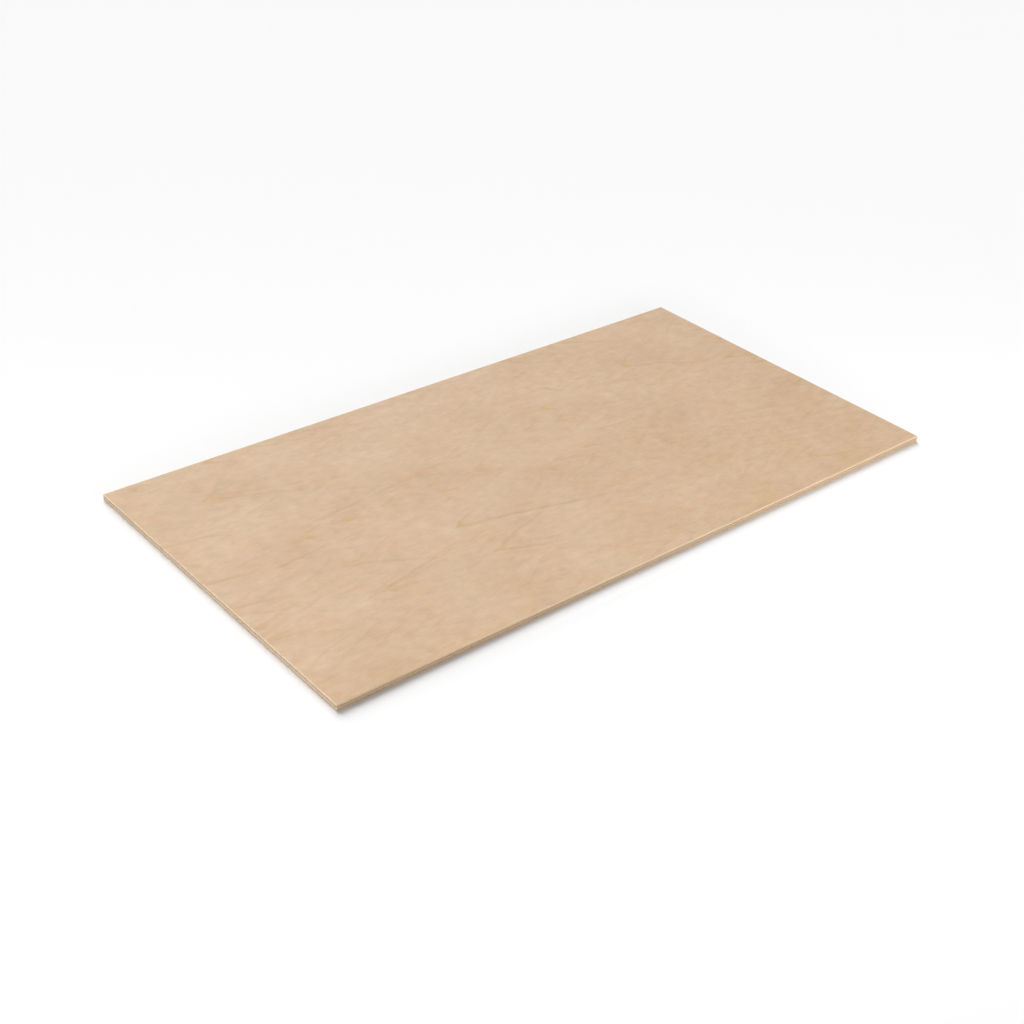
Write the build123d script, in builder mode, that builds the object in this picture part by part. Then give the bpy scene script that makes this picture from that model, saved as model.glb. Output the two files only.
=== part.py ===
"""Plywood sheet: five wood veneers, laid up with the grain crossing and glued face to face.

The sheet lies flat. X runs along its length, which is also the way the grain of the two
outer veneers runs, Y across its width and Z up through its thickness. The origin is the
middle of the underside.
"""

from build123d import *

import os

# Driving dimensions, in millimetres
sheet_length = 2440.0
sheet_width = 1220.0
outer_veneer_thickness = 3.9  # face and back veneers, thinned a little by sanding
crossband_thickness = 4.4
centre_veneer_thickness = 4.4
arris_radius = 1.0  # the edges of both faces are eased by sanding

# The core from the underside up: the grain of each veneer crosses the grain of the next
core_lay_up = [
    ("lower_crossband", crossband_thickness),
    ("centre_veneer", centre_veneer_thickness),
    ("upper_crossband", crossband_thickness),
]

# Every veneer is sawn to the same outline, because the sheet is trimmed after it is pressed
with BuildSketch() as sheet_outline:
    Rectangle(sheet_length, sheet_width)

# Back veneer, underneath, with its lower arris eased
with BuildPart() as back_veneer:
    add(sheet_outline.sketch)
    extrude(amount=outer_veneer_thickness)
    fillet(back_veneer.faces().sort_by(Axis.Z).first.edges(), radius=arris_radius)
back_veneer.part.label = "back_veneer"

# Core veneers, each lying on the one before
veneers = [back_veneer.part]
glue_line_height = outer_veneer_thickness
for name, thickness in core_lay_up:
    with BuildPart() as core_veneer:
        with BuildSketch(Plane.XY.offset(glue_line_height)):
            add(sheet_outline.sketch)
        extrude(amount=thickness)
    core_veneer.part.label = name
    veneers.append(core_veneer.part)
    glue_line_height += thickness

# Face veneer, on top, with its upper arris eased
with BuildPart() as face_veneer:
    with BuildSketch(Plane.XY.offset(glue_line_height)):
        add(sheet_outline.sketch)
    extrude(amount=outer_veneer_thickness)
    fillet(face_veneer.faces().sort_by(Axis.Z).last.edges(), radius=arris_radius)
face_veneer.part.label = "face_veneer"
veneers.append(face_veneer.part)

# One STEP file for each veneer
os.makedirs("parts", exist_ok=True)
for veneer in veneers:
    export_step(veneer, f"parts/{veneer.label}.step")
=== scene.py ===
import math

import bmesh
import bpy
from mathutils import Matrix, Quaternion, Vector


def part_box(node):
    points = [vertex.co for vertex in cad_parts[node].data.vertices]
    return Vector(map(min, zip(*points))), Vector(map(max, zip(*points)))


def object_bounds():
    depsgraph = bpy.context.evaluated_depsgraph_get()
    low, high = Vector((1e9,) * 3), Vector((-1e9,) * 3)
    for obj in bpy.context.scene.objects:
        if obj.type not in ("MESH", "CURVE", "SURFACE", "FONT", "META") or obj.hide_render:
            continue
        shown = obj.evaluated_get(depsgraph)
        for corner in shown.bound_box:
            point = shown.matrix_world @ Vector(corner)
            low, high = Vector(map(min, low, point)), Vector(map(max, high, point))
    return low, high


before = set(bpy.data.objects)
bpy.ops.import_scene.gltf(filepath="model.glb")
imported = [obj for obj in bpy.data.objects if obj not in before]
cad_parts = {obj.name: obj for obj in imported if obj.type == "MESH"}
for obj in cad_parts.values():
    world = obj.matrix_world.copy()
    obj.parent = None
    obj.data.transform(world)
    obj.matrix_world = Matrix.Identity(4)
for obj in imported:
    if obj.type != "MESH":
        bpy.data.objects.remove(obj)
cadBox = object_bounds()
print("frame:", ", ".join(sorted(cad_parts)))

# Sizes are in metres and colours are linear. The grain of the outer veneers runs along X.
sheetMiddle = (cadBox[0] + cadBox[1]) / 2
halfLength = (cadBox[1].x - cadBox[0].x) / 2
halfWidth = (cadBox[1].y - cadBox[0].y) / 2
topHeight = cadBox[1].z
bottomHeight = cadBox[0].z


def newTree(tree, nodes, links):
    # nodes: name -> (type, settings, inputs); links: (from node, output, to node, input)
    made = {}
    for name, (kind, settings, values) in nodes.items():
        node = tree.nodes.new(kind)
        node.name = name
        node.label = name
        for key, value in settings.items():
            setattr(node, key, value)
        for key, value in values.items():
            node.inputs[key].default_value = value
        made[name] = node
    for fromName, output, toName, socket in links:
        source = made.get(fromName) or tree.nodes[fromName]
        target = made.get(toName) or tree.nodes[toName]
        tree.links.new(source.outputs[output], target.inputs[socket])
    columns, columnWidth, rowHeight = 8, 220, 320
    for place, node in enumerate(made.values()):
        node.location = (columnWidth * (place % columns), -rowHeight * (place // columns))


def newGroup(name, inputs, outputs):
    group = bpy.data.node_groups.new(name, "ShaderNodeTree")
    for socket, kind, value in inputs:
        made = group.interface.new_socket(name=socket, in_out="INPUT", socket_type=kind)
        if value is not None:
            made.default_value = value
    for socket in outputs:
        group.interface.new_socket(name=socket, in_out="OUTPUT", socket_type="NodeSocketFloat")
    group.nodes.new("NodeGroupInput").name = "in"
    group.nodes.new("NodeGroupOutput").name = "out"
    return group


def mathNode(operation, *values, clamp=False):
    inputs = {index: value for index, value in enumerate(values) if value is not None}
    return ("ShaderNodeMath", {"operation": operation, "use_clamp": clamp}, inputs)


def rangeNode(fromLow, fromHigh, toLow, toHigh, smooth=False):
    kind = "SMOOTHSTEP" if smooth else "LINEAR"
    limits = {1: fromLow, 2: fromHigh, 3: toLow, 4: toHigh}
    return ("ShaderNodeMapRange", {"interpolation_type": kind, "clamp": True}, limits)


def noiseNode(detail, roughness=0.5):
    settings = {"Scale": 1.0, "Detail": detail, "Roughness": roughness}
    return ("ShaderNodeTexNoise", {"noise_dimensions": "3D"}, settings)


def vectorNode(operation, second=None):
    return ("ShaderNodeVectorMath", {"operation": operation}, {} if second is None else {1: second})


def stretchNode(x, y, z):
    # how many waves of a pattern there are to a metre, each way
    return vectorNode("MULTIPLY", (x, y, z))


def mixNode(blend="MIX", **values):
    return ("ShaderNodeMix", {"data_type": "RGBA", "blend_type": blend}, values)


def blendNode():
    return ("ShaderNodeMix", {"data_type": "FLOAT"}, {})


# One pointed nest of growth rings: a dark line with its tip towards -X and two arms that run off
# along the grain, a fainter line inside it, and a patch of ochre wood at the tip
nestLook = {
    "rise": 0.006, "fall": 0.014,  # how softly a line starts and ends, square to it
    "innerGap": 0.030, "innerStrength": 0.30, "turn": 0.006,
    "fadeStart": 0.30,  # the share of an arm's reach where it begins to fade
    "patchAlong": 0.052, "patchAcross": 0.030, "patchInset": 0.012, "patchCore": 0.15,
}


def makeNestGroup():
    group = newGroup(
        "RingNest",
        [("Position", "NodeSocketVector", None), ("Tip", "NodeSocketVector", None),
         ("UpperRun", "NodeSocketFloat", 3.0), ("UpperReach", "NodeSocketFloat", 0.3),
         ("LowerRun", "NodeSocketFloat", 3.0), ("LowerReach", "NodeSocketFloat", 0.3),
         ("Strength", "NodeSocketFloat", 1.0)],
        ["Lines", "Tips"],
    )
    patchScale = (1 / nestLook["patchAlong"], 1 / nestLook["patchAcross"], 0.0)
    nodes = {
        "fromTip": vectorNode("SUBTRACT"),
        "split": ("ShaderNodeSeparateXYZ", {}, {}),
        # 0 beside the lower arm and 1 beside the upper one
        "side": rangeNode(-nestLook["turn"], nestLook["turn"], 0.0, 1.0, True),
        "run": blendNode(),
        "reach": blendNode(),
        "away": mathNode("ABSOLUTE"),
        "arms": mathNode("MULTIPLY"),
        "inside": mathNode("SUBTRACT"),
        "runSquare": mathNode("MULTIPLY"),
        "runMore": mathNode("ADD", None, 1.0),
        "slant": mathNode("INVERSE_SQRT"),
        "depth": mathNode("MULTIPLY"),
        "reachShare": mathNode("DIVIDE"),
        "reachFade": rangeNode(nestLook["fadeStart"], 1.0, 1.0, 0.0, True),
        "rise": rangeNode(-nestLook["rise"], 0.0, 0.0, 1.0, True),
        "fall": rangeNode(0.0, nestLook["fall"], 1.0, 0.0, True),
        "outerLine": mathNode("MULTIPLY"),
        "innerDepth": mathNode("SUBTRACT", None, nestLook["innerGap"]),
        "innerRise": rangeNode(-nestLook["rise"], 0.0, 0.0, nestLook["innerStrength"], True),
        "innerFall": rangeNode(0.0, nestLook["fall"], 1.0, 0.0, True),
        "innerLine": mathNode("MULTIPLY"),
        "bothLines": mathNode("MAXIMUM"),
        "faded": mathNode("MULTIPLY"),
        "lines": mathNode("MULTIPLY"),
        "fromPatch": vectorNode("SUBTRACT", (nestLook["patchInset"], 0.0, 0.0)),
        "patchPlace": stretchNode(*patchScale),
        "patchSize": vectorNode("LENGTH"),
        "patch": rangeNode(nestLook["patchCore"], 1.0, 1.0, 0.0, True),
        "patchInside": mathNode("MULTIPLY"),
        "tips": mathNode("MULTIPLY"),
    }
    links = [
        ("in", "Position", "fromTip", 0), ("in", "Tip", "fromTip", 1), ("fromTip", 0, "split", 0),
        ("split", "Y", "side", 0),
        ("side", 0, "run", 0), ("in", "LowerRun", "run", 2), ("in", "UpperRun", "run", 3),
        ("side", 0, "reach", 0), ("in", "LowerReach", "reach", 2), ("in", "UpperReach", "reach", 3),
        ("split", "Y", "away", 0), ("away", 0, "arms", 0), ("run", 0, "arms", 1),
        ("split", "X", "inside", 0), ("arms", 0, "inside", 1),
        ("run", 0, "runSquare", 0), ("run", 0, "runSquare", 1), ("runSquare", 0, "runMore", 0),
        ("runMore", 0, "slant", 0), ("inside", 0, "depth", 0), ("slant", 0, "depth", 1),
        ("split", "X", "reachShare", 0), ("reach", 0, "reachShare", 1), ("reachShare", 0, "reachFade", 0),
        ("depth", 0, "rise", 0), ("depth", 0, "fall", 0),
        ("rise", 0, "outerLine", 0), ("fall", 0, "outerLine", 1),
        ("depth", 0, "innerDepth", 0), ("innerDepth", 0, "innerRise", 0), ("innerDepth", 0, "innerFall", 0),
        ("innerRise", 0, "innerLine", 0), ("innerFall", 0, "innerLine", 1),
        ("outerLine", 0, "bothLines", 0), ("innerLine", 0, "bothLines", 1),
        ("bothLines", 0, "faded", 0), ("reachFade", 0, "faded", 1),
        ("faded", 0, "lines", 0), ("in", "Strength", "lines", 1), ("lines", 0, "out", "Lines"),
        ("fromTip", 0, "fromPatch", 0), ("fromPatch", 0, "patchPlace", 0),
        ("patchPlace", 0, "patchSize", 0), ("patchSize", "Value", "patch", 0),
        ("patch", 0, "patchInside", 0), ("rise", 0, "patchInside", 1),
        ("patchInside", 0, "tips", 0), ("in", "Strength", "tips", 1), ("tips", 0, "out", "Tips"),
    ]
    newTree(group, nodes, links)
    return group


nestGroup = makeNestGroup()

# The nests that stand out: the tip (x, y), the upper arm's run along the grain for each metre across
# and its reach, the lower arm's, and the strength. They were placed one by one.
faceNests = [
    (-0.987, 0.402, 1.4, 0.20, 2.6, 0.46, 0.85),
    (-0.878, 0.600, 1.5, 0.02, 1.7, 0.11, 0.80),
    (-1.153, 0.593, 1.5, 0.02, 1.5, 0.09, 0.90),
    (-1.240, 0.257, 6.0, 0.10, 6.0, 0.30, 0.65),
    (-0.878, 0.073, 1.5, 0.05, 1.3, 0.06, 1.00),
    (-0.707, 0.073, 1.6, 0.05, 1.8, 0.07, 0.90),
    (-0.553, 0.076, 3.0, 0.08, 3.0, 0.08, 0.55),
    (-0.387, 0.076, 3.0, 0.06, 2.6, 0.12, 0.50),
    (-0.187, 0.068, 1.6, 0.09, 1.2, 0.07, 0.85),
    (-0.745, 0.122, 10.0, 0.75, 6.0, 0.04, 0.65),
    (-1.255, 0.033, 6.0, 0.05, 5.5, 0.30, 0.85),
    (-1.003, -0.017, 12.0, 0.26, 6.0, 0.05, 0.85),
    (-1.240, -0.102, 4.0, 0.05, 3.3, 0.26, 0.70),
    (-1.240, -0.227, 5.0, 0.30, 4.0, 0.05, 0.75),
    (-1.240, -0.287, 4.0, 0.05, 5.0, 0.22, 0.50),
    (-0.812, -0.115, 2.0, 0.07, 1.6, 0.20, 0.85),
    (-0.820, -0.282, 4.5, 0.32, 2.3, 0.08, 1.00),
    (-0.437, -0.148, 1.8, 0.14, 4.2, 0.76, 1.00),
    (-0.453, -0.315, 3.0, 0.36, 3.2, 0.38, 1.00),
    (0.722, 0.327, 1.7, 0.14, 2.1, 0.42, 1.00),
    (0.322, 0.398, 2.0, 0.03, 1.3, 0.15, 0.80),
    (0.260, 0.257, 2.0, 0.03, 1.4, 0.09, 1.00),
    (0.247, 0.163, 1.8, 0.10, 3.0, 0.05, 0.75),
    (0.805, -0.490, 2.0, 0.09, 2.5, 0.23, 1.00),
    (0.655, 0.597, 2.0, 0.02, 2.0, 0.19, 0.80),
    (0.372, 0.600, 2.0, 0.02, 1.5, 0.10, 0.85),
    (0.330, 0.482, 2.6, 0.15, 3.0, 0.03, 0.65),
    (1.113, 0.168, 2.5, 0.08, 2.0, 0.12, 0.95),
    (1.163, 0.085, 2.5, 0.08, 2.5, 0.08, 0.95),
    (1.147, -0.123, 3.0, 0.09, 3.0, 0.09, 0.90),
    (1.180, -0.215, 2.0, 0.06, 2.0, 0.06, 0.85),
    (0.338, 0.043, 6.0, 0.03, 8.0, 0.24, 0.75),
    (0.447, 0.172, 4.0, 0.04, 4.0, 0.20, 0.50),
]
backNests = [
    (-1.020, 0.300, 3.2, 0.40, 2.4, 0.30, 0.80),
    (-0.780, -0.080, 4.6, 0.55, 3.8, 0.40, 0.90),
    (-0.310, 0.260, 2.8, 0.30, 3.6, 0.50, 0.75),
    (-0.220, -0.390, 3.4, 0.45, 3.0, 0.30, 0.85),
    (0.240, 0.020, 4.2, 0.60, 5.2, 0.50, 0.90),
    (0.520, 0.440, 2.6, 0.25, 2.8, 0.35, 0.70),
    (0.760, -0.260, 3.0, 0.35, 3.4, 0.30, 0.80),
]

# The rows that the nests' tips lie on: their place across the sheet, and how far the rings run along
# the grain for each metre above and below them
faceFolds = [
    (0.600, 2.0, 2.0), (0.405, 2.2, 2.8), (0.255, 3.0, 3.2), (0.165, 2.6, 2.4), (0.074, 2.4, 2.2),
    (-0.020, 4.5, 3.0), (-0.130, 2.2, 2.6), (-0.298, 3.0, 2.6), (-0.490, 2.4, 2.2), (-0.640, 2.0, 2.0),
]
backFolds = [
    (0.560, 2.6, 3.2), (0.330, 3.4, 2.6), (0.090, 2.8, 3.8), (-0.130, 3.6, 3.0), (-0.380, 2.8, 2.6),
    (-0.610, 2.4, 2.4),
]

# The figure of a rotary-cut veneer. Its growth rings fold back along each row, so that they zigzag
# across the sheet in pointed nests. Bend and fray shift the nests, the rings, their breaks and the
# soft grain along X. Each noise's pair is how many waves there are to a metre, along and across.
figure = {
    "bend": (3.0, 13.0), "bendDepth": 0.17, "fray": (12.0, 140.0), "frayDepth": 0.045,
    "wander": (1.1, 1.8), "wanderDepth": 0.10, "foldRound": 0.05,
    # rings to a metre, and the shares of a ring's spacing where its line ends and the next one starts
    "drift": (1.6, 4.0), "driftTurns": 2.4, "ringCount": 8.0, "ringFade": 0.30, "ringStart": 0.93,
    # where there are rings, where the lines are broken and what is left of them there
    "patches": (3.0, 6.0), "patchLow": 0.38, "patchHigh": 0.60,
    "breaks": (13.0, 30.0), "breakLow": 0.34, "breakHigh": 0.60, "breakLeft": 0.45,
    "mottle": (22.0, 32.0), "grain": (18.0, 22.0), "streak": (7.0, 95.0), "cloud": (2.6, 4.2),
    "tint": (7.0, 11.0), "fleck": (30.0, 170.0), "fleckLow": 0.60, "fleckHigh": 0.80,
    "fibre": (16.0, 620.0),
}


def foldParts(folds):
    # how far the rings are shifted along the grain, ending in the returned node
    nodes, links, last = {}, [], None
    for number, (y, upperRun, lowerRun) in enumerate(folds):
        above, upper, lower, fold = (f"{part}{number}" for part in ("above", "upper", "lower", "fold"))
        nodes[above] = mathNode("SUBTRACT", None, y)
        nodes[upper] = mathNode("MULTIPLY", None, upperRun)
        nodes[lower] = mathNode("MULTIPLY", None, -lowerRun)
        nodes[fold] = mathNode("MAXIMUM")
        links += [
            ("across", 0, above, 0), (above, 0, upper, 0), (above, 0, lower, 0), (upper, 0, fold, 0),
            (lower, 0, fold, 1),
        ]
        if last:
            nearer = f"nearer{number}"
            nodes[nearer] = mathNode("SMOOTH_MIN", None, None, figure["foldRound"])
            links += [(last, 0, nearer, 0), (fold, 0, nearer, 1)]
            fold = nearer
        last = fold
    return nodes, links, last


def makeFigureGroup(name, nests, folds):
    group = newGroup(
        name,
        [("Position", "NodeSocketVector", None), ("Seed", "NodeSocketFloat", 0.0)],
        ["Lines", "Rings", "Tips", "Mottle", "Grain", "Fibre", "Streak", "Cloud", "Tint", "Fleck"],
    )
    bend, fray, wander = (figure[f"{part}Depth"] / 2 for part in ("bend", "fray", "wander"))
    nodes, links, folded = foldParts(folds)
    nodes.update({
        "seedVector": ("ShaderNodeCombineXYZ", {}, {}),
        "place": vectorNode("ADD"),
        "bendDepth": rangeNode(0.0, 1.0, -bend, bend),
        "frayDepth": rangeNode(0.0, 1.0, -fray, fray),
        "shift": mathNode("ADD"),
        "shiftVector": ("ShaderNodeCombineXYZ", {}, {}),
        "shifted": vectorNode("ADD"),
        "shiftedPlace": vectorNode("ADD"),
        # the folds, which wander a little across the sheet
        "split": ("ShaderNodeSeparateXYZ", {}, {}),
        "wanderDepth": rangeNode(0.0, 1.0, -wander, wander),
        "across": mathNode("ADD"),
        "foldVector": ("ShaderNodeCombineXYZ", {}, {}),
        "foldedPlace": vectorNode("SUBTRACT"),
        # growth rings: each starts as a sharp dark line and fades away along the grain
        "foldedSplit": ("ShaderNodeSeparateXYZ", {}, {}),
        "ringPlace": mathNode("MULTIPLY", None, figure["ringCount"]),
        "driftTurns": mathNode("MULTIPLY", None, figure["driftTurns"]),
        "ringTurns": mathNode("ADD"),
        "ringWave": mathNode("FRACT"),
        "ringFade": rangeNode(0.0, figure["ringFade"], 1.0, 0.0, True),
        "ringStart": rangeNode(figure["ringStart"], 1.0, 0.0, 1.0, True),
        "ringLine": mathNode("MAXIMUM"),
        "patchRange": rangeNode(figure["patchLow"], figure["patchHigh"], 0.0, 1.0, True),
        "breakRange": rangeNode(figure["breakLow"], figure["breakHigh"], figure["breakLeft"], 1.0, True),
        "ringPatches": mathNode("MULTIPLY"),
        "brokenRings": mathNode("MULTIPLY"),
        "brokenLines": mathNode("MULTIPLY"),
        "brokenTips": mathNode("MULTIPLY"),
        "fleckRange": rangeNode(figure["fleckLow"], figure["fleckHigh"], 0.0, 1.0, True),
        # nests lie in the plane of the veneer, so the height is taken out of the position
        "flatPlace": stretchNode(1.0, 1.0, 0.0),
    })
    links += [
        ("in", "Seed", "seedVector", "X"), ("in", "Seed", "seedVector", "Y"),
        ("in", "Seed", "seedVector", "Z"),
        ("in", "Position", "place", 0), ("seedVector", 0, "place", 1),
        ("bend", 0, "bendDepth", 0), ("fray", 0, "frayDepth", 0),
        ("bendDepth", 0, "shift", 0), ("frayDepth", 0, "shift", 1), ("shift", 0, "shiftVector", "X"),
        ("in", "Position", "shifted", 0), ("shiftVector", 0, "shifted", 1), ("shifted", 0, "flatPlace", 0),
        ("place", 0, "shiftedPlace", 0), ("shiftVector", 0, "shiftedPlace", 1),
        ("in", "Position", "split", 0), ("wander", 0, "wanderDepth", 0),
        ("split", "Y", "across", 0), ("wanderDepth", 0, "across", 1),
        (folded, 0, "foldVector", "X"),
        ("shiftedPlace", 0, "foldedPlace", 0), ("foldVector", 0, "foldedPlace", 1),
        ("foldedPlace", 0, "foldedSplit", 0), ("foldedSplit", "X", "ringPlace", 0),
        ("drift", 0, "driftTurns", 0), ("ringPlace", 0, "ringTurns", 0), ("driftTurns", 0, "ringTurns", 1),
        ("ringTurns", 0, "ringWave", 0), ("ringWave", 0, "ringFade", 0), ("ringWave", 0, "ringStart", 0),
        ("ringFade", 0, "ringLine", 0), ("ringStart", 0, "ringLine", 1),
        ("patches", 0, "patchRange", 0), ("breaks", 0, "breakRange", 0), ("fleck", 0, "fleckRange", 0),
        ("ringLine", 0, "ringPatches", 0), ("patchRange", 0, "ringPatches", 1),
        ("ringPatches", 0, "brokenRings", 0), ("breakRange", 0, "brokenRings", 1),
        ("brokenRings", 0, "out", "Rings"), ("fleckRange", 0, "out", "Fleck"),
    ]
    for noise in ("mottle", "grain", "fibre", "streak", "cloud", "tint"):
        links.append((noise, 0, "out", noise.capitalize()))
    # name: the place it reads, detail and roughness
    noises = {
        "bend": ("place", 3.0, 0.55), "fray": ("place", 3.0, 0.6), "wander": ("place", 1.0, 0.5),
        "drift": ("place", 2.0, 0.5), "patches": ("place", 2.0, 0.5), "breaks": ("shiftedPlace", 3.0, 0.6),
        "mottle": ("place", 5.0, 0.66), "grain": ("shiftedPlace", 4.0, 0.6), "streak": ("place", 4.0, 0.62),
        "cloud": ("place", 4.0, 0.55), "tint": ("place", 3.0, 0.55), "fleck": ("place", 2.0, 0.5),
        "fibre": ("place", 5.0, 0.7),
    }
    for noise, (place, detail, roughness) in noises.items():
        along, across = figure[noise]
        nodes[f"{noise}Scale"] = stretchNode(along, across, across if noise == "fibre" else 1.0)
        nodes[noise] = noiseNode(detail, roughness)
        links += [(place, 0, f"{noise}Scale", 0), (f"{noise}Scale", 0, noise, "Vector")]

    lines, tips = None, None
    for number, (x, y, upperRun, upperReach, lowerRun, lowerReach, strength) in enumerate(nests):
        nest = f"nest{number}"
        values = {
            "Tip": (x, y, 0.0), "UpperRun": upperRun, "UpperReach": upperReach,
            "LowerRun": lowerRun, "LowerReach": lowerReach, "Strength": strength,
        }
        nodes[nest] = ("ShaderNodeGroup", {"node_tree": nestGroup}, values)
        links.append(("flatPlace", 0, nest, "Position"))
        if number == 0:
            lines, tips = (nest, "Lines"), (nest, "Tips")
            continue
        darker, tipped = f"darker{number}", f"tipped{number}"
        nodes[darker] = mathNode("MAXIMUM")
        nodes[tipped] = mathNode("MAXIMUM")
        links += [
            (*lines, darker, 0), (nest, "Lines", darker, 1), (*tips, tipped, 0), (nest, "Tips", tipped, 1),
        ]
        lines, tips = (darker, 0), (tipped, 0)
    links += [
        (*lines, "brokenLines", 0), ("breakRange", 0, "brokenLines", 1), ("brokenLines", 0, "out", "Lines"),
        (*tips, "brokenTips", 0), ("breakRange", 0, "brokenTips", 1), ("brokenTips", 0, "out", "Tips"),
    ]
    newTree(group, nodes, links)
    return group


# What a sawn edge shows: the same solid grain from its side and from its end, the layers that the
# lathe peeled, small checks in the end grain, the glue line against the next veneer and saw marks
edgeLook = {
    "cutDepth": 0.0012, "glue": 0.00009, "sawSpacing": 0.0026, "sawLean": 0.35, "sawDrift": 22.0,
    "fibre": (10.0, 900.0, 900.0), "fibreLow": 0.28, "fibreHigh": 0.72,
    "fibreDark": 0.92, "fibreLight": 1.06,
    "layers": (2.0, 9.0, 1500.0), "layerLow": 0.32, "layerHigh": 0.68,
    "checks": (1.5, 330.0, 70.0), "checkLow": 0.60, "checkHigh": 0.68,
    "sawHeight": 0.16, "checkHeight": -1.2, "glueHeight": -0.8,  # against the fibre's height of 1
    "sideRough": 0.68, "endRough": 0.84, "bump": 0.6,
}
bumpDistance = 0.00012  # how high the bump's 1 stands
woodSpecular = 0.2


def makeEdgeGroup():
    group = newGroup(
        "SawnEdge",
        [("Position", "NodeSocketVector", None), ("Across", "NodeSocketFloat", 0.0),
         ("HalfAlong", "NodeSocketFloat", halfLength), ("LowZ", "NodeSocketFloat", 0.0),
         ("HighZ", "NodeSocketFloat", 0.0), ("Seed", "NodeSocketFloat", 0.0)],
        ["Fibre", "Layers", "Checks", "EndGrain", "Glue", "Saw"],
    )
    nodes = {
        "split": ("ShaderNodeSeparateXYZ", {}, {}),
        "turned": ("ShaderNodeCombineXYZ", {}, {}),
        "grain": ("ShaderNodeMix", {"data_type": "VECTOR"}, {}),
        "seedVector": ("ShaderNodeCombineXYZ", {}, {}),
        "place": vectorNode("ADD"),
        "fibreScale": stretchNode(*edgeLook["fibre"]),
        "fibre": noiseNode(4.0, 0.65),
        "layerScale": stretchNode(*edgeLook["layers"]),
        "layers": noiseNode(2.0, 0.6),
        "checkScale": stretchNode(*edgeLook["checks"]),
        "checks": noiseNode(2.0, 0.55),
        "checkRange": rangeNode(edgeLook["checkLow"], edgeLook["checkHigh"], 0.0, 1.0, True),
        # end grain shows where the cut crosses the fibres
        "grainSplit": ("ShaderNodeSeparateXYZ", {}, {}),
        "alongSize": mathNode("ABSOLUTE"),
        "toEnd": mathNode("SUBTRACT"),
        "endGrain": mathNode("LESS_THAN", None, edgeLook["cutDepth"]),
        "endChecks": mathNode("MULTIPLY"),
        "belowTop": mathNode("SUBTRACT"),
        "belowTopSize": mathNode("ABSOLUTE"),
        "aboveLow": mathNode("SUBTRACT"),
        "aboveLowSize": mathNode("ABSOLUTE"),
        "toGlue": mathNode("MINIMUM"),
        "glue": rangeNode(edgeLook["glue"] * 0.5, edgeLook["glue"] * 1.5, 1.0, 0.0, True),
        "round": mathNode("ADD"),
        "lean": mathNode("MULTIPLY", None, edgeLook["sawLean"]),
        "sawPlace": mathNode("ADD"),
        "sawTurns": mathNode("MULTIPLY", None, math.tau / edgeLook["sawSpacing"]),
        "sawDrift": mathNode("MULTIPLY", None, edgeLook["sawDrift"]),
        "sawPhase": mathNode("ADD"),
        "saw": mathNode("SINE"),
    }
    links = [
        ("in", "Position", "split", 0), ("split", "Y", "turned", "X"), ("split", "X", "turned", "Y"),
        ("split", "Z", "turned", "Z"),
        ("in", "Across", "grain", 0), ("in", "Position", "grain", 4), ("turned", 0, "grain", 5),
        ("in", "Seed", "seedVector", "X"), ("in", "Seed", "seedVector", "Y"),
        ("grain", 1, "place", 0), ("seedVector", 0, "place", 1),
        ("place", 0, "fibreScale", 0), ("fibreScale", 0, "fibre", "Vector"), ("fibre", 0, "out", "Fibre"),
        ("place", 0, "layerScale", 0), ("layerScale", 0, "layers", "Vector"),
        ("layers", 0, "out", "Layers"),
        ("place", 0, "checkScale", 0), ("checkScale", 0, "checks", "Vector"),
        ("checks", 0, "checkRange", 0),
        ("grain", 1, "grainSplit", 0), ("grainSplit", "X", "alongSize", 0),
        ("in", "HalfAlong", "toEnd", 0), ("alongSize", 0, "toEnd", 1), ("toEnd", 0, "endGrain", 0),
        ("endGrain", 0, "out", "EndGrain"),
        ("checkRange", 0, "endChecks", 0), ("endGrain", 0, "endChecks", 1),
        ("endChecks", 0, "out", "Checks"),
        ("in", "HighZ", "belowTop", 0), ("split", "Z", "belowTop", 1), ("belowTop", 0, "belowTopSize", 0),
        ("split", "Z", "aboveLow", 0), ("in", "LowZ", "aboveLow", 1), ("aboveLow", 0, "aboveLowSize", 0),
        ("belowTopSize", 0, "toGlue", 0), ("aboveLowSize", 0, "toGlue", 1), ("toGlue", 0, "glue", 0),
        ("glue", 0, "out", "Glue"),
        ("split", "X", "round", 0), ("split", "Y", "round", 1), ("split", "Z", "lean", 0),
        ("round", 0, "sawPlace", 0), ("lean", 0, "sawPlace", 1), ("sawPlace", 0, "sawTurns", 0),
        ("layers", 0, "sawDrift", 0), ("sawTurns", 0, "sawPhase", 0), ("sawDrift", 0, "sawPhase", 1),
        ("sawPhase", 0, "saw", 0), ("saw", 0, "out", "Saw"),
    ]
    newTree(group, nodes, links)
    return group


edgeGroup = makeEdgeGroup()
print("node groups ready")

# Colours of the cut edge of each veneer: pale and deep layers, and how far its end grain darkens
edgeTones = {
    "face_veneer": {
        "pale": (0.800, 0.637, 0.472, 1), "deep": (0.750, 0.593, 0.437, 1), "endShade": 1.0, "seed": 1.3,
    },
    "upper_crossband": {
        "pale": (0.492, 0.362, 0.253, 1), "deep": (0.446, 0.324, 0.223, 1), "endShade": 1.11, "seed": 4.1,
    },
    "centre_veneer": {
        "pale": (0.668, 0.516, 0.374, 1), "deep": (0.622, 0.475, 0.341, 1), "endShade": 1.08, "seed": 8.7,
    },
    "lower_crossband": {
        "pale": (0.675, 0.515, 0.375, 1), "deep": (0.628, 0.475, 0.342, 1), "endShade": 0.83, "seed": 12.9,
    },
    "back_veneer": {
        "pale": (0.715, 0.556, 0.405, 1), "deep": (0.665, 0.513, 0.370, 1), "endShade": 0.80, "seed": 16.4,
    },
}
longTint = (1.05, 1.00, 0.92, 1)  # the two long edges are tinted warmer than the short ones
glueTone = (0.130, 0.082, 0.047, 1)
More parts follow.
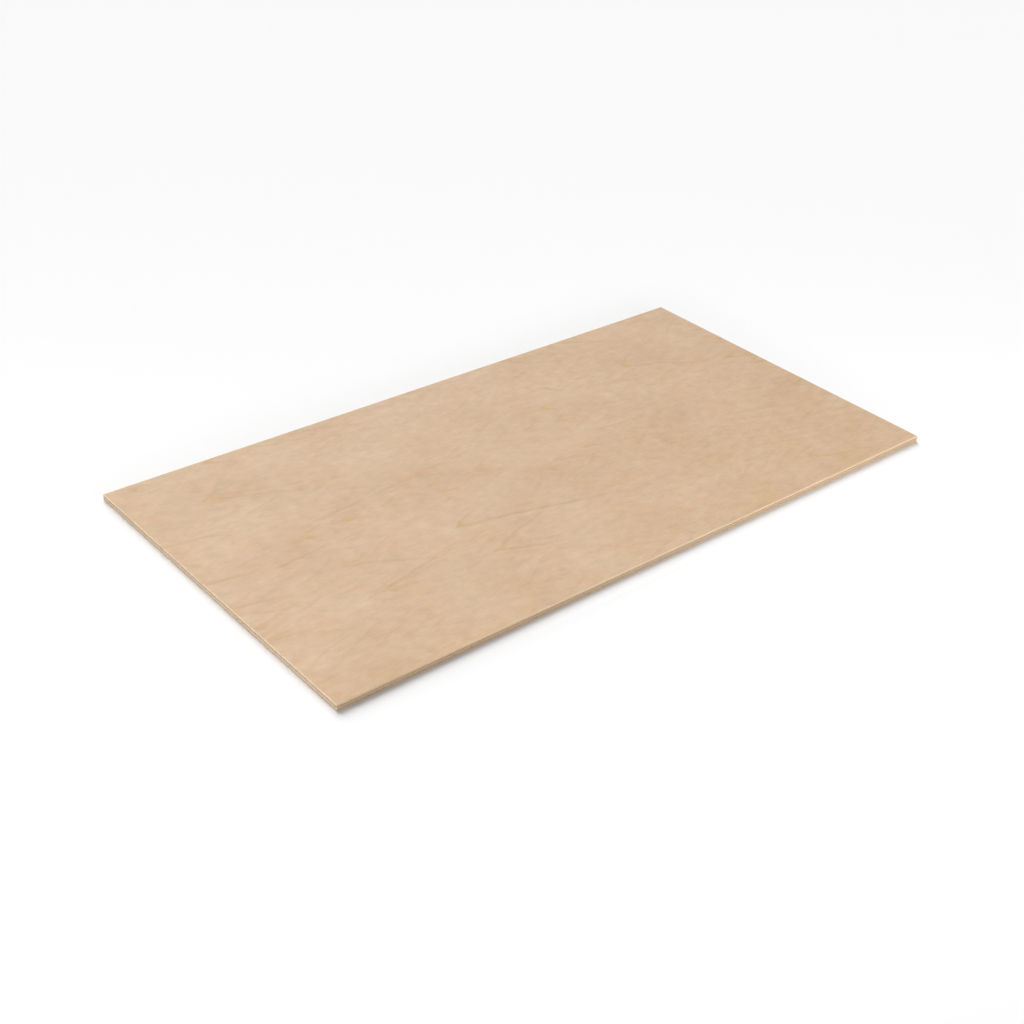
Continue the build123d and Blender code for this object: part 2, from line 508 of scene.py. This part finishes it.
# the checks' dark colour is painted shade inside the small cracks
checkShadeTone = (0.260, 0.182, 0.121, 1)


def edgeParts(nodeName):
    # the nodes and links that colour a veneer's cut edge, ending in "edgeColour" and "edgeHeight"
    tone = edgeTones[nodeName]
    low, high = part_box(nodeName)
    crosses = "crossband" in nodeName
    far = 1.0  # an outer veneer has no glue line on its outer side, so that one is put out of reach
    values = {
        "Across": 1.0 if crosses else 0.0, "HalfAlong": halfWidth if crosses else halfLength,
        "LowZ": low[2] if nodeName != "back_veneer" else -far,
        "HighZ": high[2] if nodeName != "face_veneer" else far, "Seed": tone["seed"],
    }
    nodes = {
        "coords": ("ShaderNodeTexCoord", {}, {}),
        "edge": ("ShaderNodeGroup", {"node_tree": edgeGroup}, values),
        "layerTone": rangeNode(edgeLook["layerLow"], edgeLook["layerHigh"], 0.0, 1.0),
        "edgeBase": mixNode(A=tone["pale"], B=tone["deep"]),
        "sides": ("ShaderNodeSeparateXYZ", {}, {}),
        "sideways": mathNode("ABSOLUTE"),
        "longSide": mathNode("GREATER_THAN", None, halfWidth - edgeLook["cutDepth"]),
        "edgeTinted": mixNode("MULTIPLY", B=longTint),
        "edgeFibre": rangeNode(*(edgeLook[f"fibre{part}"] for part in ("Low", "High", "Dark", "Light"))),
        "endShade": rangeNode(0.0, 1.0, 1.0, tone["endShade"]),
        "edgeShade": mathNode("MULTIPLY"),
        "edgeShaded": mixNode("MULTIPLY", Factor=1.0),
        "checked": mixNode(B=checkShadeTone),
        "edgeColour": mixNode(B=glueTone),
        "sawHeight": mathNode("MULTIPLY", None, edgeLook["sawHeight"]),
        "checkHeight": mathNode("MULTIPLY", None, edgeLook["checkHeight"]),
        "glueHeight": mathNode("MULTIPLY", None, edgeLook["glueHeight"]),
        "heightA": mathNode("ADD"),
        "heightB": mathNode("ADD"),
        "edgeHeight": mathNode("ADD"),
        "edgeRough": rangeNode(0.0, 1.0, edgeLook["sideRough"], edgeLook["endRough"]),
    }
    links = [
        ("coords", "Object", "edge", "Position"),
        ("edge", "Layers", "layerTone", 0), ("layerTone", 0, "edgeBase", 0),
        ("coords", "Object", "sides", 0), ("sides", "Y", "sideways", 0), ("sideways", 0, "longSide", 0),
        ("longSide", 0, "edgeTinted", 0), ("edgeBase", 2, "edgeTinted", 6),
        ("edge", "Fibre", "edgeFibre", 0), ("edge", "EndGrain", "endShade", 0),
        ("edgeFibre", 0, "edgeShade", 0), ("endShade", 0, "edgeShade", 1),
        ("edgeTinted", 2, "edgeShaded", 6), ("edgeShade", 0, "edgeShaded", 7),
        ("edge", "Checks", "checked", 0), ("edgeShaded", 2, "checked", 6),
        ("edge", "Glue", "edgeColour", 0), ("checked", 2, "edgeColour", 6),
        ("edge", "Saw", "sawHeight", 0), ("edge", "Checks", "checkHeight", 0),
        ("edge", "Glue", "glueHeight", 0),
        ("edge", "Fibre", "heightA", 0), ("sawHeight", 0, "heightA", 1),
        ("heightA", 0, "heightB", 0), ("checkHeight", 0, "heightB", 1),
        ("heightB", 0, "edgeHeight", 0), ("glueHeight", 0, "edgeHeight", 1),
        ("edge", "EndGrain", "edgeRough", 0),
    ]
    return nodes, links


def coreMaterial(nodeName):
    material = bpy.data.materials.new(nodeName)
    material.use_nodes = True
    material.node_tree.nodes.clear()
    nodes, links = edgeParts(nodeName)
    nodes["bump"] = ("ShaderNodeBump", {}, {"Strength": edgeLook["bump"], "Distance": bumpDistance})
    nodes["shader"] = ("ShaderNodeBsdfPrincipled", {}, {"Specular IOR Level": woodSpecular})
    nodes["output"] = ("ShaderNodeOutputMaterial", {}, {})
    links += [
        ("edgeColour", 2, "shader", "Base Color"), ("edgeRough", 0, "shader", "Roughness"),
        ("edgeHeight", 0, "bump", "Height"), ("bump", 0, "shader", "Normal"), ("shader", 0, "output", 0),
    ]
    newTree(material.node_tree, nodes, links)
    return material


# The flat side of an outer veneer: cloudy pale wood with darker ring lines and ochre tips. It has a painted
# highlight along its rim at the -X edge and, more and more towards +X, at the -Y edge.
faceLook = {
    "pale": (0.642, 0.461, 0.306, 1), "deep": (0.590, 0.408, 0.256, 1), "tint": (1.0, 0.966, 0.915, 1),
    "line": (0.440, 0.275, 0.140, 1), "ring": (0.500, 0.325, 0.175, 1), "ochre": (0.600, 0.385, 0.180, 1),
    # the colour of the painted highlight laid along the rim of the -X and -Y edges
    "rimHighlight": (0.860, 0.680, 0.500, 1),
    "lineShare": 0.40, "ringShare": 0.28, "tipShare": 0.78, "fleckShare": 0.12,
    "cloudLow": 0.33, "cloudHigh": 0.67, "tintLow": 0.46, "tintHigh": 0.68,
    # what the fine grain multiplies the colour by, and how much each part of it counts
    "grainDark": (0.860, 0.812, 0.795, 1), "grainLight": (1.140, 1.188, 1.205, 1),
    "mottle": 0.54, "grain": 0.12, "streak": 0.18, "fibre": 0.50,
    "roughness": 0.60, "roughSpread": 0.06, "fibreLow": 0.30, "fibreHigh": 0.70,
    "fibreHeight": 0.35, "bump": 0.5,
    # how wide the painted highlight along the rim is and how strong, at the short edge and at both ends of
    # the long one, and how far the streaks move its inner side, as a share of the width
    "highlightWidth": 0.0035, "highlightShare": 0.75, "longHighlightWidth": 0.0060, "longHighlightStart": 0.05, "longHighlightEnd": 0.85,
    "highlightWander": 0.5, "streakLow": 0.3, "streakHigh": 0.7,
    # how far below its flat side the veneer begins and ends to look like a cut edge
    "flatEnd": 0.0002, "edgeStart": 0.0009,
}


def outerMaterial(nodeName, look, nests, folds, outerHeight, seed):
    material = bpy.data.materials.new(nodeName)
    material.use_nodes = True
    material.node_tree.nodes.clear()
    nodes, links = edgeParts(nodeName)
    roughLow, roughHigh = look["roughness"] - look["roughSpread"], look["roughness"] + look["roughSpread"]
    highlightWander = look["highlightWidth"] * look["highlightWander"]
    figureGroup = makeFigureGroup(f"{nodeName}_figure", nests, folds)
    nodes.update({
        "figure": ("ShaderNodeGroup", {"node_tree": figureGroup}, {"Seed": seed}),
        "cloudTone": rangeNode(look["cloudLow"], look["cloudHigh"], 0.0, 1.0),
        "base": mixNode(A=look["pale"], B=look["deep"]),
        "tintRange": rangeNode(look["tintLow"], look["tintHigh"], 0.0, 1.0, True),
        "tinted": mixNode("MULTIPLY", B=look["tint"]),
        "ringShare": mathNode("MULTIPLY", None, look["ringShare"]),
        "withRings": mixNode(B=look["ring"]),
        "lineShare": mathNode("MULTIPLY", None, look["lineShare"]),
        "withLines": mixNode(B=look["line"]),
        "tipShare": mathNode("MULTIPLY", None, look["tipShare"]),
        "withTips": mixNode(B=look["ochre"]),
        "fleckShare": mathNode("MULTIPLY", None, look["fleckShare"]),
        "withFlecks": mixNode(B=look["line"]),
        # fine grain: each part is weighed about its middle, and the sum is a place from dark to light
        "mottleTone": rangeNode(0.0, 1.0, -look["mottle"], look["mottle"]),
        "grainTone": rangeNode(0.0, 1.0, -look["grain"], look["grain"]),
        "streakTone": rangeNode(0.0, 1.0, -look["streak"], look["streak"]),
        "fibreTone": rangeNode(0.0, 1.0, -look["fibre"], look["fibre"]),
        "softTone": mathNode("ADD"),
        "fineTone": mathNode("ADD"),
        "bothTones": mathNode("ADD"),
        "tonePlace": mathNode("ADD", None, 0.5, clamp=True),
        "grainTint": mixNode(A=look["grainDark"], B=look["grainLight"]),
        "withGrain": mixNode("MULTIPLY", Factor=1.0),
        # the painted highlight along the rim
        "split": ("ShaderNodeSeparateXYZ", {}, {}),
        "highlightWander": rangeNode(look["streakLow"], look["streakHigh"], -highlightWander, highlightWander),
        "fromEndX": mathNode("ADD", None, halfLength),
        "fromEndY": mathNode("ADD", None, halfWidth),
        "highlightPlaceX": mathNode("ADD"),
        "highlightPlaceY": mathNode("ADD"),
        "shortHighlight": rangeNode(0.0, look["highlightWidth"], look["highlightShare"], 0.0, True),
        "longHighlightBand": rangeNode(0.0, look["longHighlightWidth"], 1.0, 0.0, True),
        "longHighlightShare": rangeNode(-halfLength, 0.0, look["longHighlightStart"], look["longHighlightEnd"], True),
        "longHighlight": mathNode("MULTIPLY"),
        "rimHighlight": mathNode("MAXIMUM"),
        "withHighlight": mixNode(B=look["rimHighlight"]),
        # which of the two is seen: the flat side or the cut edge
        "fromOuter": mathNode("SUBTRACT", None, outerHeight),
        "fromOuterSize": mathNode("ABSOLUTE"),
        "flat": rangeNode(look["flatEnd"], look["edgeStart"], 1.0, 0.0, True),
        "colour": mixNode(),
        "flatRough": rangeNode(look["fibreLow"], look["fibreHigh"], roughLow, roughHigh),
        "rough": blendNode(),
        "flatHeight": mathNode("MULTIPLY", None, look["fibreHeight"]),
        "height": blendNode(),
        "bump": ("ShaderNodeBump", {}, {"Strength": look["bump"], "Distance": bumpDistance}),
        "shader": ("ShaderNodeBsdfPrincipled", {}, {"Specular IOR Level": woodSpecular}),
        "output": ("ShaderNodeOutputMaterial", {}, {}),
    })
    links += [
        ("coords", "Object", "figure", "Position"), ("coords", "Object", "split", 0),
        ("figure", "Cloud", "cloudTone", 0), ("cloudTone", 0, "base", 0),
        ("figure", "Tint", "tintRange", 0), ("tintRange", 0, "tinted", 0), ("base", 2, "tinted", 6),
        ("figure", "Rings", "ringShare", 0), ("ringShare", 0, "withRings", 0),
        ("tinted", 2, "withRings", 6),
        ("figure", "Lines", "lineShare", 0), ("lineShare", 0, "withLines", 0),
        ("withRings", 2, "withLines", 6),
        ("figure", "Tips", "tipShare", 0), ("tipShare", 0, "withTips", 0), ("withLines", 2, "withTips", 6),
        ("figure", "Fleck", "fleckShare", 0), ("fleckShare", 0, "withFlecks", 0),
        ("withTips", 2, "withFlecks", 6),
        ("figure", "Mottle", "mottleTone", 0), ("figure", "Grain", "grainTone", 0),
        ("figure", "Streak", "streakTone", 0), ("figure", "Fibre", "fibreTone", 0),
        ("mottleTone", 0, "softTone", 0), ("grainTone", 0, "softTone", 1),
        ("streakTone", 0, "fineTone", 0), ("fibreTone", 0, "fineTone", 1),
        ("softTone", 0, "bothTones", 0), ("fineTone", 0, "bothTones", 1), ("bothTones", 0, "tonePlace", 0),
        ("tonePlace", 0, "grainTint", 0), ("withFlecks", 2, "withGrain", 6),
        ("grainTint", 2, "withGrain", 7),
        ("split", "X", "fromEndX", 0), ("split", "Y", "fromEndY", 0), ("figure", "Streak", "highlightWander", 0),
        ("fromEndX", 0, "highlightPlaceX", 0), ("highlightWander", 0, "highlightPlaceX", 1),
        ("highlightPlaceX", 0, "shortHighlight", 0),
        ("fromEndY", 0, "highlightPlaceY", 0), ("highlightWander", 0, "highlightPlaceY", 1),
        ("highlightPlaceY", 0, "longHighlightBand", 0),
        ("split", "X", "longHighlightShare", 0),
        ("longHighlightBand", 0, "longHighlight", 0), ("longHighlightShare", 0, "longHighlight", 1),
        ("shortHighlight", 0, "rimHighlight", 0), ("longHighlight", 0, "rimHighlight", 1),
        ("rimHighlight", 0, "withHighlight", 0), ("withGrain", 2, "withHighlight", 6),
        ("split", "Z", "fromOuter", 0), ("fromOuter", 0, "fromOuterSize", 0),
        ("fromOuterSize", 0, "flat", 0),
        ("flat", 0, "colour", 0), ("edgeColour", 2, "colour", 6), ("withHighlight", 2, "colour", 7),
        ("colour", 2, "shader", "Base Color"),
        ("figure", "Fibre", "flatRough", 0),
        ("flat", 0, "rough", 0), ("edgeRough", 0, "rough", 2), ("flatRough", 0, "rough", 3),
        ("rough", 0, "shader", "Roughness"),
        ("figure", "Fibre", "flatHeight", 0),
        ("flat", 0, "height", 0), ("edgeHeight", 0, "height", 2), ("flatHeight", 0, "height", 3),
        ("height", 0, "bump", "Height"), ("bump", 0, "shader", "Normal"), ("shader", 0, "output", 0),
    ]
    newTree(material.node_tree, nodes, links)
    return material


backLook = dict(faceLook, pale=(0.640, 0.460, 0.296, 1), deep=(0.540, 0.372, 0.232, 1))
for nodeName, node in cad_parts.items():
    if nodeName == "face_veneer":
        material = outerMaterial(nodeName, faceLook, faceNests, faceFolds, topHeight, 0.0)
    elif nodeName == "back_veneer":
        material = outerMaterial(nodeName, backLook, backNests, backFolds, bottomHeight, 7.0)
    else:
        material = coreMaterial(nodeName)
    node.data.materials.clear()
    node.data.materials.append(material)
print("materials ready")


# Floor: plain and pale, with the sheet's shadow on it. To the camera it glows a little away from the
# sheet, and in the shadow along the near long edge, less and less towards the near corner.
floorLook = {
    "size": 60.0, "colour": (0.950, 0.950, 0.950, 1), "gap": 0.0002,
    # how far from the sheet the open floor's glow starts and is full, and how strong it is
    "openStart": 0.060, "openEnd": 0.30, "openGlow": 0.03,
    # how far from the sheet the shadow's glow is full, begins to fade and ends
    "shadeFull": 0.010, "shadeFade": 0.014, "shadeEnd": 0.062,
    # the shadow's glow at the near corner and, past a reach along the edge, in the rest of it
    "cornerGlow": 0.01, "shadeGlow": 0.17, "cornerReach": 0.90,
}


def makeFloor():
    mesh = bpy.data.meshes.new("floor")
    shape = bmesh.new()
    bmesh.ops.create_grid(shape, x_segments=1, y_segments=1, size=floorLook["size"] / 2)
    bmesh.ops.translate(shape, verts=shape.verts, vec=(0, 0, bottomHeight - floorLook["gap"]))
    shape.to_mesh(mesh)
    shape.free()
    floor = bpy.data.objects.new("floor", mesh)
    bpy.context.scene.collection.objects.link(floor)
    material = bpy.data.materials.new("floor")
    material.use_nodes = True
    material.node_tree.nodes.clear()
    cornerEnd = floorLook["cornerReach"] - halfLength
    nodes = {
        "paths": ("ShaderNodeLightPath", {}, {}),
        "matt": ("ShaderNodeBsdfDiffuse", {}, {"Color": floorLook["colour"]}),
        "coords": ("ShaderNodeTexCoord", {}, {}),
        "split": ("ShaderNodeSeparateXYZ", {}, {}),
        "away": vectorNode("ABSOLUTE"),
        "fromSheet": vectorNode("SUBTRACT", (halfLength, halfWidth, 0.0)),
        "outside": vectorNode("MAXIMUM", (0.0, 0.0, 0.0)),
        "distance": vectorNode("LENGTH"),
        "openGlow": rangeNode(floorLook["openStart"], floorLook["openEnd"], 0.0, floorLook["openGlow"]),
        "shadeRise": rangeNode(0.0, floorLook["shadeFull"], 0.0, 1.0, True),
        "shadeFade": rangeNode(floorLook["shadeFade"], floorLook["shadeEnd"], 1.0, 0.0),
        "shadeBand": mathNode("MULTIPLY"),
        "shadeGlow": rangeNode(-halfLength, cornerEnd, floorLook["cornerGlow"], floorLook["shadeGlow"]),
        "inFront": mathNode("LESS_THAN", None, -halfWidth),
        "frontGlow": mathNode("MULTIPLY"),
        "fadedGlow": mathNode("MULTIPLY"),
        "glowLevel": mathNode("ADD"),
        "glowShare": mathNode("MULTIPLY"),
        "glow": ("ShaderNodeEmission", {}, {"Color": (1, 1, 1, 1)}),
        "sum": ("ShaderNodeAddShader", {}, {}),
        "output": ("ShaderNodeOutputMaterial", {}, {}),
    }
    links = [
        ("coords", "Object", "split", 0), ("split", "X", "shadeGlow", 0), ("split", "Y", "inFront", 0),
        ("coords", "Object", "away", 0), ("away", 0, "fromSheet", 0), ("fromSheet", 0, "outside", 0),
        ("outside", 0, "distance", 0), ("distance", "Value", "openGlow", 0),
        ("distance", "Value", "shadeRise", 0), ("distance", "Value", "shadeFade", 0),
        ("shadeRise", 0, "shadeBand", 0), ("shadeFade", 0, "shadeBand", 1),
        ("shadeGlow", 0, "frontGlow", 0), ("inFront", 0, "frontGlow", 1),
        ("frontGlow", 0, "fadedGlow", 0), ("shadeBand", 0, "fadedGlow", 1),
        ("openGlow", 0, "glowLevel", 0), ("fadedGlow", 0, "glowLevel", 1),
        ("paths", "Is Camera Ray", "glowShare", 0), ("glowLevel", 0, "glowShare", 1),
        ("glowShare", 0, "glow", "Strength"),
        ("matt", 0, "sum", 0), ("glow", 0, "sum", 1), ("sum", 0, "output", 0),
    ]
    newTree(material.node_tree, nodes, links)
    mesh.materials.append(material)


makeFloor()
print("floor ready")

# Light: an even studio with a soft key from behind, a weak low sun in front, a softbox to the left that
# lights the near short edge, and a low one in front of the right half of the near long edge. Headings
# are degrees from +Y and powers are watts, but for the suns', which shine alike from any distance.
lightLook = {
    "worldLevel": 0.17, "sunDistance": 5.0,
    "keyPower": 3.97, "keyHeading": 14.0, "keyHeight": 37.0, "keySpread": 60.0,
    "frontPower": 0.62, "frontHeading": 180.0, "frontHeight": 9.0, "frontSpread": 40.0,
    "fillPower": 27.5, "fillPlace": (-3.6, -0.3, 0.60), "fillTarget": (-1.22, 0.0, 0.01),
    "fillSize": (1.4, 0.8),
    "sidePower": 14.5, "sidePlace": (0.9, -2.2, 0.34), "sideTarget": (0.8, -0.61, 0.01),
    "sideSize": (1.1, 0.3),
}


def makeWorld():
    world = bpy.data.worlds.new("studio")
    bpy.context.scene.world = world
    world.use_nodes = True
    world.node_tree.nodes.clear()
    nodes = {
        "paths": ("ShaderNodeLightPath", {}, {}),
        "seen": mathNode("MAXIMUM"),
        "level": rangeNode(0.0, 1.0, lightLook["worldLevel"], 1.0),
        "sky": ("ShaderNodeBackground", {}, {"Color": (1, 1, 1, 1)}),
        "output": ("ShaderNodeOutputWorld", {}, {}),
    }
    links = [
        ("paths", "Is Camera Ray", "seen", 0), ("paths", "Is Transmission Ray", "seen", 1),
        ("seen", 0, "level", 0), ("level", 0, "sky", "Strength"), ("sky", 0, "output", 0),
    ]
    newTree(world.node_tree, nodes, links)


def aim(headingDegrees, heightDegrees):
    # the direction to a point in the sky, from its heading and its height above the floor
    heading, height = math.radians(headingDegrees), math.radians(heightDegrees)
    level = math.cos(height)
    return Vector((math.sin(heading) * level, math.cos(heading) * level, math.sin(height)))


def addLamp(name, lamp, place, towards):
    holder = bpy.data.objects.new(name, lamp)
    holder.location = place
    holder.rotation_mode = "QUATERNION"
    holder.rotation_quaternion = towards.to_track_quat("-Z", "Y")
    bpy.context.scene.collection.objects.link(holder)
    return holder


def addSun(name):
    lamp = bpy.data.lights.new(name, "SUN")
    lamp.energy = lightLook[f"{name}Power"]
    lamp.angle = math.radians(lightLook[f"{name}Spread"])
    source = aim(lightLook[f"{name}Heading"], lightLook[f"{name}Height"])
    addLamp(name, lamp, source * lightLook["sunDistance"], -source)


def addSoftbox(name):
    lamp = bpy.data.lights.new(name, "AREA")
    lamp.shape = "RECTANGLE"
    lamp.size, lamp.size_y = lightLook[f"{name}Size"]
    lamp.energy = lightLook[f"{name}Power"]
    place = Vector(lightLook[f"{name}Place"])
    holder = addLamp(name, lamp, place, Vector(lightLook[f"{name}Target"]) - place)
    holder.visible_camera = False


makeWorld()
addSun("key")
addSun("front")
addSoftbox("fill")
addSoftbox("side")
bpy.context.scene.view_settings.view_transform = "Standard"
print("light ready")

# Camera: the photo's viewpoint, measured from the middle of the top face
viewLook = {
    "position": (-3.000, -3.030, 2.528),
    "heading": 40.73, "tilt": -32.76, "roll": 3.36,  # degrees
    "lens": 53.74, "sensor": 36.0,  # mm
    "shiftX": 0.0714, "shiftY": 0.0005, "clipEnd": 200.0,
}


def makeCamera():
    data = bpy.data.cameras.new("camera")
    data.lens = viewLook["lens"]
    data.sensor_width = viewLook["sensor"]
    data.shift_x = viewLook["shiftX"]
    data.shift_y = viewLook["shiftY"]
    data.clip_end = viewLook["clipEnd"]
    camera = bpy.data.objects.new("camera", data)
    camera.location = Vector((sheetMiddle.x, sheetMiddle.y, topHeight)) + Vector(viewLook["position"])
    camera.rotation_mode = "QUATERNION"
    forward = aim(viewLook["heading"], viewLook["tilt"])
    turn = Quaternion((0, 0, 1), math.radians(viewLook["roll"]))
    camera.rotation_quaternion = forward.to_track_quat("-Z", "Y") @ turn
    bpy.context.scene.collection.objects.link(camera)
    bpy.context.scene.camera = camera


makeCamera()
print("camera ready")
